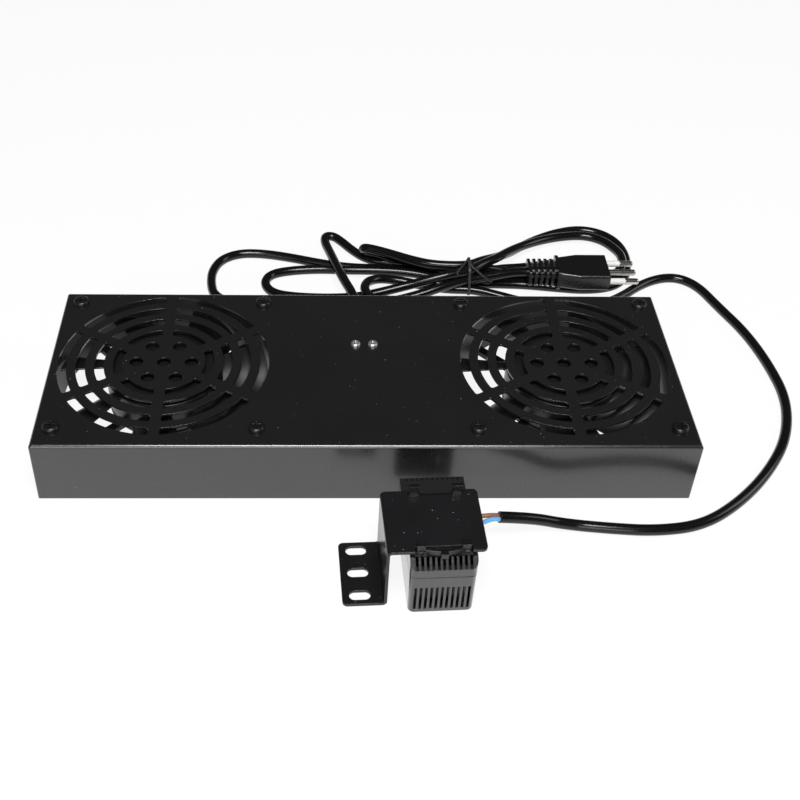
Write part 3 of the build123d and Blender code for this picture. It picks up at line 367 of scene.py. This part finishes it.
# Finishes that single nodes have instead of their slot's: the base of the switch gets the dark thermostat
# finish instead of its milky one, as painted shade behind the vents, and the clip is as black and glossy
# as the plug
looks = {"switch_base": "thermostat_plastic", "rail_clip": "black_moulding"}

# Share of the floor's white that shows without any lamp, and the strength of the light all round
floor_glow = 0.9
air_strength = 0.06

# Softboxes: name, place, point that it faces, width, height and power in watts
softboxes = (
    ("overhead_softbox", (-0.02, -0.52, 1.25), (0, 0.05, 0), 0.6, 0.42, 17),
    ("front_softbox", (-0.3, -1.5, 0.6), (0, 0, 0.02), 1.4, 0.9, 12),
    ("right_softbox", (1.4, 0.1, 0.8), (0.1, 0, 0), 0.6, 0.9, 4),
)

# Camera: place, then pitch, yaw and roll in radians, shift as a share of the frame, sensor in mm
camera_place = (-0.02785, -0.471554, 0.4644)
camera_angles = (0.7012, 0.041, 0.0297)
camera_shift = (0.0601, -0.0523)
camera_sensor = 36


def finish(slot):
    """The material of a slot, made when it is first asked for."""
    name, colour, second, rough, swing, metallic, ior, grain, depth = finishes[slot]
    material = bpy.data.materials.get(name)
    if material:
        return material
    material = bpy.data.materials.new(name)
    material.use_nodes = True
    tree = material.node_tree
    tree.nodes.clear()
    place = add_node(tree, "ShaderNodeTexCoord").outputs["Object"]
    fine = add_node(
        tree,
        "ShaderNodeTexNoise",
        {"Scale": 1 / (grain * mm), "Detail": 3},
        {"Vector": place},
    )
    broad = add_node(
        tree,
        "ShaderNodeTexNoise",
        {"Scale": patches, "Detail": 4, "Roughness": 0.6},
        {"Vector": place},
    )
    tone = add_node(
        tree,
        "ShaderNodeMixRGB",
        {"Color1": linear(colour), "Color2": linear(second)},
        {"Fac": broad.outputs["Fac"]},
    )
    gloss = add_node(
        tree,
        "ShaderNodeMapRange",
        {"To Min": rough - swing, "To Max": rough + swing},
        {"Value": broad.outputs["Fac"]},
    )
    if slot in dust:
        motes = add_node(
            tree,
            "ShaderNodeTexNoise",
            {"Scale": 1 / (mote * mm), "Detail": 1},
            {"Vector": place},
        )
        share = add_node(
            tree,
            "ShaderNodeMapRange",
            {"From Min": dust[slot], "From Max": dust[slot] + mote_rim, "To Max": mote_cover},
            {"Value": motes.outputs["Fac"]},
        )
        tone = add_node(
            tree,
            "ShaderNodeMixRGB",
            {"Color2": linear(mote_colour)},
            {"Fac": share.outputs["Result"], "Color1": tone.outputs["Color"]},
        )
    rounded = add_node(tree, "ShaderNodeBevel", {"samples": edge_samples, "Radius": edge_round * mm})
    bump = add_node(
        tree,
        "ShaderNodeBump",
        {"Strength": 1.0, "Distance": depth * mm},
        {"Height": fine.outputs["Fac"], "Normal": rounded.outputs["Normal"]},
    )
    shader = add_node(
        tree,
        "ShaderNodeBsdfPrincipled",
        {
            "Metallic": metallic,
            "IOR": ior,
            "Coat Weight": skins.get(slot, 0),
            "Coat Roughness": skin_roughness,
        },
        {
            "Base Color": tone.outputs["Color"],
            "Roughness": gloss.outputs["Result"],
            "Normal": bump.outputs["Normal"],
        },
    )
    add_node(tree, "ShaderNodeOutputMaterial", links={"Surface": shader.outputs["BSDF"]})
    return material


def dress(*slots):
    """Gives the pieces of these slots their materials."""
    for row in frame["record"]["subparts"]:
        if row["material_slot"] in slots:
            piece = nodes[row["node"]]
            if not piece.material_slots:
                piece.data.materials.append(None)
            look = looks.get(row["node"], row["material_slot"])
            for holder in piece.material_slots:
                holder.material = finish(look)


def add_piece(name, data, slot):
    """Adds one piece of the tray's body with its finish."""
    piece = bpy.data.objects.new(name, data)
    bpy.context.scene.collection.objects.link(piece)
    data.materials.append(finish(slot))
    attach(piece, body)
    return piece


def add_cord(name, places, width, slot):
    """A round cord along a smooth spline with these control points."""
    data = bpy.data.curves.new(name, "CURVE")
    data.dimensions = "3D"
    spline = data.splines.new("NURBS")
    spline.points.add(len(places) - 1)
    for point, place in zip(spline.points, places):
        point.co = (*place, 1)
    spline.order_u = cord_order
    spline.use_endpoint_u = True
    spline.resolution_u = cord_steps
    data.bevel_depth = width / 2
    data.bevel_resolution = cord_round
    data.use_fill_caps = True
    return add_piece(name, data, slot)


def strands_at(place):
    """Middles of the strands that cross this distance along the casing, as (y, z) behind the wall."""
    found = []
    for route in (mains_route, sensor_route):
        for start, end in zip(route, route[1:]):
            if (start[0] - place) * (end[0] - place) < 0 and start[1] > 0:
                share = (place - start[0]) / (end[0] - start[0])
                found.append(Vector(start[1:]).lerp(Vector(end[1:]), share))
    return found


def add_ribbon(name, places, sides, width, thickness, slot):
    """A flat ribbon through these places, with its width along the side given for each place."""
    mesh = bmesh.new()
    rings = []
    last = len(places) - 1
    for index, (place, side) in enumerate(zip(places, sides)):
        along = (places[min(index + 1, last)] - places[max(index - 1, 0)]).normalized()
        across = (side - along * side.dot(along)).normalized()
        outward = along.cross(across)
        rings.append(
            [
                mesh.verts.new(place + across * width * right / 2 + outward * thickness * up / 2)
                for right, up in ((-1, -1), (1, -1), (1, 1), (-1, 1))
            ]
        )
    for ring, following in zip(rings, rings[1:]):
        for corner in range(4):
            beside = (corner + 1) % 4
            mesh.faces.new((ring[corner], ring[beside], following[beside], following[corner]))
    mesh.faces.new(rings[0][::-1])
    mesh.faces.new(rings[-1])
    bmesh.ops.recalc_face_normals(mesh, faces=mesh.faces)
    data = bpy.data.meshes.new(name)
    mesh.to_mesh(data)
    mesh.free()
    return add_piece(name, data, slot)


def smooth(places, steps=6):
    """More places, along a line that bends smoothly through the given ones."""
    ends = [places[0], *places, places[-1]]
    found = []
    for before, start, end, after in zip(ends, ends[1:], ends[2:], ends[3:]):
        for step in range(steps):
            t = step / steps
            found.append(
                (
                    start * 2
                    + (end - before) * t
                    + (before * 2 - start * 5 + end * 4 - after) * t**2
                    + (start * 3 - before - end * 3 + after) * t**3
                )
                / 2
            )
    return [*found, places[-1]]


def white_board(colour):
    """Matt board, lit as it lies, and shown brighter to the eye, in reflections and through glass."""
    material = bpy.data.materials.new("white_board")
    material.use_nodes = True
    tree = material.node_tree
    tree.nodes.clear()
    rays = add_node(tree, "ShaderNodeLightPath").outputs
    shown = rays["Is Camera Ray"]
    for kind in ("Is Glossy Ray", "Is Transmission Ray"):
        either = add_node(
            tree,
            "ShaderNodeMath",
            {"operation": "ADD", "use_clamp": True},
            {0: shown, 1: rays[kind]},
        )
        shown = either.outputs[0]
    share = add_node(tree, "ShaderNodeMath", {"operation": "MULTIPLY", 1: floor_glow}, {0: shown})
    matt = add_node(tree, "ShaderNodeBsdfDiffuse", {"Color": colour})
    glow = add_node(tree, "ShaderNodeEmission", {"Color": colour, "Strength": 1.0})
    mixed = add_node(
        tree,
        "ShaderNodeMixShader",
        links={0: share.outputs[0], 1: matt.outputs[0], 2: glow.outputs[0]},
    )
    add_node(tree, "ShaderNodeOutputMaterial", links={"Surface": mixed.outputs[0]})
    return material


def add_floor(width, colour):
    """A square floor under the object."""
    data = bpy.data.meshes.new("floor")
    half = width / 2
    corners = [(-half, -half, 0), (half, -half, 0), (half, half, 0), (-half, half, 0)]
    data.from_pydata(corners, [], [(0, 1, 2, 3)])
    floor = bpy.data.objects.new("floor", data)
    bpy.context.scene.collection.objects.link(floor)
    data.materials.append(white_board(colour))


def add_air(colour):
    """Light from all round, weak, so that the black faces keep their depth."""
    world = bpy.data.worlds.new("studio")
    world.use_nodes = True
    tree = world.node_tree
    tree.nodes.clear()
    air = add_node(tree, "ShaderNodeBackground", {"Color": colour, "Strength": air_strength})
    add_node(tree, "ShaderNodeOutputWorld", links={"Surface": air.outputs[0]})
    bpy.context.scene.world = world


def add_softbox(name, place, target, width, height, power):
    """A soft rectangular lamp that faces its target."""
    data = bpy.data.lights.new(name, "AREA")
    data.shape = "RECTANGLE"
    data.size = width
    data.size_y = height
    data.energy = power
    lamp = bpy.data.objects.new(name, data)
    lamp.location = place
    way = Vector(target) - Vector(place)
    lamp.rotation_euler = way.to_track_quat("-Z", "Y").to_euler()
    bpy.context.scene.collection.objects.link(lamp)


def add_camera(focal_length):
    """The camera, in front and above, tipped down by its pitch."""
    pitch, yaw, roll = camera_angles
    ahead = Vector((sin(yaw) * cos(pitch), cos(yaw) * cos(pitch), -sin(pitch)))
    level = Vector((cos(yaw), -sin(yaw), 0))
    upright = level.cross(ahead)
    across = level * cos(roll) + upright * sin(roll)
    up = upright * cos(roll) - level * sin(roll)
    data = bpy.data.cameras.new("camera")
    data.lens = focal_length
    data.sensor_width = camera_sensor
    data.shift_x, data.shift_y = camera_shift
    camera = bpy.data.objects.new("camera", data)
    camera.matrix_world = Matrix((across, up, -ahead)).transposed().to_4x4()
    camera.location = camera_place
    bpy.context.scene.collection.objects.link(camera)
    bpy.context.scene.camera = camera


class FanTraySizes(bpy.types.PropertyGroup):
    """Sizes of the cords, the tie and the floor, and the camera's lens."""

    cord: bpy.props.FloatProperty(
        name="Cord", description="Thickness of both cords", default=0.006, unit="LENGTH"
    )
    tie_width: bpy.props.FloatProperty(
        name="Tie width", description="Width of the tie's ribbon", default=0.0016, unit="LENGTH"
    )
    tie_thickness: bpy.props.FloatProperty(
        name="Tie thickness", description="Thickness of the tie's ribbon", default=0.0007, unit="LENGTH"
    )
    floor: bpy.props.FloatProperty(
        name="Floor", description="Width of the white floor", default=8.0, unit="LENGTH"
    )
    lens: bpy.props.FloatProperty(
        name="Lens", description="Focal length for a 36 mm sensor", default=53.96, unit="CAMERA"
    )


class FanTrayColours(bpy.types.PropertyGroup):
    """Colours of the stage."""

    floor: bpy.props.FloatVectorProperty(
        name="Floor",
        description="Colour of the floor",
        default=linear("#ffffff"),
        size=4,
        subtype="COLOR",
    )
    air: bpy.props.FloatVectorProperty(
        name="Air",
        description="Colour of the light from all round",
        default=linear("#ffffff"),
        size=4,
        subtype="COLOR",
    )


class FANTRAY_OT_stage(bpy.types.Operator):
    """White floor, soft studio light and the camera"""

    bl_idname = "fan_tray.stage"
    bl_label = "Stage"

    def execute(self, context):
        scene = context.scene
        scene.view_settings.view_transform = "Standard"
        add_floor(scene.fan_tray_sizes.floor, scene.fan_tray_colours.floor)
        add_air(scene.fan_tray_colours.air)
        for softbox in softboxes:
            add_softbox(*softbox)
        add_camera(scene.fan_tray_sizes.lens)
        return {"FINISHED"}


class FANTRAY_OT_casing(bpy.types.Operator):
    """Powder-coated casing, and its terminal block with bright screws and brass inserts"""

    bl_idname = "fan_tray.casing"
    bl_label = "Casing and terminal block"

    def execute(self, context):
        dress("black_powder_coat", "zinc_plated_steel", "terminal_plastic", "brass_contacts")
        return {"FINISHED"}


class FANTRAY_OT_fans(bpy.types.Operator):
    """Both fans with their motors and screws"""

    bl_idname = "fan_tray.fans"
    bl_label = "Fans"

    def execute(self, context):
        dress("fan_frame_black", "impeller_plastic", "rotor_steel", "bright_steel")
        dress("laminated_steel", "enamelled_copper", "black_steel_screws")
        return {"FINISHED"}


class FANTRAY_OT_thermostat(bpy.types.Operator):
    """Bracket, rail clip and the vented thermostat"""

    bl_idname = "fan_tray.thermostat"
    bl_label = "Thermostat and bracket"

    def execute(self, context):
        dress("black_bracket_steel", "thermostat_plastic", "dial_plastic", "bimetal")
        return {"FINISHED"}


class FANTRAY_OT_plug(bpy.types.Operator):
    """Moulded plug, its pins and sleeves, and the strain relief in the rear wall"""

    bl_idname = "fan_tray.plug"
    bl_label = "Plug"

    def execute(self, context):
        dress("black_moulding", "nickel_plated_pins", "pin_sleeve_plastic")
        return {"FINISHED"}


class FANTRAY_OT_cords(bpy.types.Operator):
    """Mains cord in its tied hank, and the thermostat's cable with its two cores"""

    bl_idname = "fan_tray.cords"
    bl_label = "Cords"

    def execute(self, context):
        sizes = context.scene.fan_tray_sizes
        dress("black_cord_jacket", "brown_core_jacket", "blue_core_jacket")
        places = [rear_wall + Vector(place) for place in mains_route]
        mains = add_cord("mains_cord", places, sizes.cord, "black_cord_jacket")
        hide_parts("power_cord_lead", "power_cord_hank", "plug_lead")
        places = [rear_wall + Vector(place) for place in sensor_route]
        cable = add_cord("sensor_cable", places, sizes.cord, "black_cord_jacket")
        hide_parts("thermostat_cable")
        return {"FINISHED"}


class FANTRAY_OT_tie(bpy.types.Operator):
    """Ribbon tie round the waist of the hank, with its twisted tail"""

    bl_idname = "fan_tray.tie"
    bl_label = "Tie"

    def execute(self, context):
        sizes = context.scene.fan_tray_sizes
        along = Vector((1, 0, 0))

        # Band: tight round the strands, drawn up to a peak where its ends are twisted
        rim = []
        reach = sizes.cord / 2 + sizes.tie_thickness / 2
        for middle in strands_at(tie_place):
            for step in range(tie_steps):
                turn = 2 * pi * step / tie_steps
                rim.append(middle + Vector((cos(turn), sin(turn))) * reach)
        rim.append(Vector(tie_peak[1:]))
        order = geometry.convex_hull_2d(rim)
        loop = [rear_wall + Vector((tie_place, *rim[index])) for index in order]
        band = add_ribbon(
            "tie_band",
            [*loop, loop[0], loop[1]],
            [along] * (len(loop) + 2),
            sizes.tie_width,
            sizes.tie_thickness,
            "tie_plastic",
        )
        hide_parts("cord_tie")

        # Second turn: from the peak down to its small folded end, on the front of the strands
        places = smooth([rear_wall + Vector(place) for place in (tie_peak, *tie_fold)])
        add_ribbon(
            "tie_fold",
            places,
            [Vector(fold_side)] * len(places),
            sizes.tie_width * fold_share,
            sizes.tie_thickness,
            "tie_plastic",
        )

        # Tail: both ends twisted together, and hooked back at the tip
        places = smooth([rear_wall + Vector(place) for place in (tie_peak, *tie_tail)])
        for name, phase in (("tie_tail_first", 0), ("tie_tail_second", pi / 2)):
            sides = []
            for index in range(len(places)):
                turn = phase + tail_turns * 2 * pi * index / (len(places) - 1)
                sides.append(Vector((cos(turn) * tail_lean, cos(turn), sin(turn))))
            add_ribbon(
                name,
                places,
                sides,
                sizes.tie_width * tail_share,
                sizes.tie_thickness,
                "tie_plastic",
            )
        return {"FINISHED"}


class FANTRAY_PT_pieces(bpy.types.Panel):
    """Lists the pieces of the fan tray"""

    bl_idname = "FANTRAY_PT_pieces"
    bl_label = "Fan tray"
    bl_space_type = "VIEW_3D"
    bl_region_type = "UI"
    bl_category = "Fan tray"

    def draw(self, context):
        for group in (context.scene.fan_tray_sizes, context.scene.fan_tray_colours):
            for key in group.__annotations__:
                self.layout.prop(group, key)
        for operator in operators:
            self.layout.operator(operator.bl_idname)


operators = (
    FANTRAY_OT_stage,
    FANTRAY_OT_cords,
    FANTRAY_OT_tie,
    FANTRAY_OT_casing,
    FANTRAY_OT_fans,
    FANTRAY_OT_thermostat,
    FANTRAY_OT_plug,
)
classes = (FanTraySizes, FanTrayColours, *operators, FANTRAY_PT_pieces)


def register():
    for made in classes:
        bpy.utils.register_class(made)
    bpy.types.Scene.fan_tray_sizes = bpy.props.PointerProperty(type=FanTraySizes)
    bpy.types.Scene.fan_tray_colours = bpy.props.PointerProperty(type=FanTrayColours)


def unregister():
    del bpy.types.Scene.fan_tray_colours
    del bpy.types.Scene.fan_tray_sizes
    for made in reversed(classes):
        bpy.utils.unregister_class(made)


def main():
    register()
    for operator in operators:
        group, name = operator.bl_idname.split(".")
        getattr(getattr(bpy.ops, group), name)()
    bpy.context.view_layer.update()


if __name__ == "__main__":
    main()
